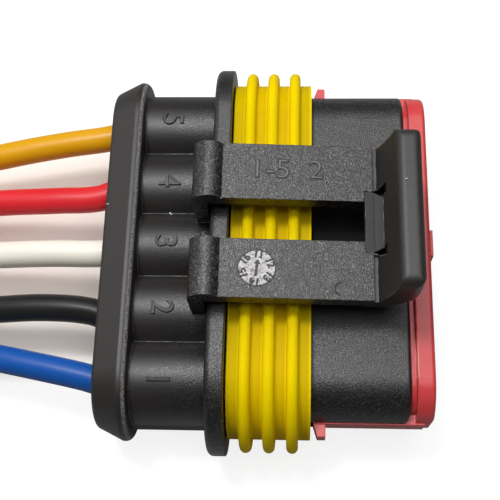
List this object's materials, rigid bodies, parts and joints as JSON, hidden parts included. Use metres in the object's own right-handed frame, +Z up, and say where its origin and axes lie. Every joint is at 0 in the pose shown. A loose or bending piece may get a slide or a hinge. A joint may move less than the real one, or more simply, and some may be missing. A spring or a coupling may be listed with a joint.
{
  "type": "harness connector",
  "caption": "Sealed flat harness plug with a ribbed interface seal, a sliding secondary lock, a lift latch and a row of insulated wires.",
  "frame": {"origin": "under the middle of the plug without its wires, on the surface it lies on", "axes": "+X is the mating direction, +Y runs along the row of cavities to the highest cavity number, +Z is up on the latch side"},
  "size_m": [0.1028, 0.0366, 0.0185],
  "materials": {
    "housing_plastic": "fine spark-eroded matt black",
    "seal_rubber": "satin yellow silicone",
    "lock_plastic": "satin red",
    "contact_metal": "bright folded sheet",
    "conductor_metal": "bright copper strands",
    "wire_blue": "smooth extruded insulation",
    "wire_black": "smooth extruded insulation",
    "wire_white": "smooth extruded insulation",
    "wire_red": "smooth extruded insulation",
    "wire_yellow": "smooth extruded insulation"
  },
  "bodies": {
    "plug": {"housing": "housing_plastic", "interface_seal": "seal_rubber", "wire_seal_1": "seal_rubber", "wire_seal_2": "seal_rubber", "wire_seal_3": "seal_rubber", "wire_seal_4": "seal_rubber", "wire_seal_5": "seal_rubber", "contact_1": "contact_metal", "contact_2": "contact_metal", "contact_3": "contact_metal", "contact_4": "contact_metal", "contact_5": "contact_metal", "conductor_1": "conductor_metal", "conductor_2": "conductor_metal", "conductor_3": "conductor_metal", "conductor_4": "conductor_metal", "conductor_5": "conductor_metal", "wire_1": "wire_blue", "wire_2": "wire_black", "wire_3": "wire_white", "wire_4": "wire_red", "wire_5": "wire_yellow"},
    "latch": {"latch": "housing_plastic"},
    "lock": {"secondary_lock": "lock_plastic"}
  },
  "joints": [
    {"name": "latch_lift", "type": "hinge", "parent": "plug", "child": "latch", "pos_m": [-0.00568, 0, 0.01075], "axis": [0, -1, 0], "range_deg": [0, 8], "stiffness_Nm_per_rad": 0.8},
    {"name": "lock_slide", "type": "slide", "parent": "plug", "child": "lock", "axis": [1, 0, 0], "range_m": [0, 0.002]}
  ]
}
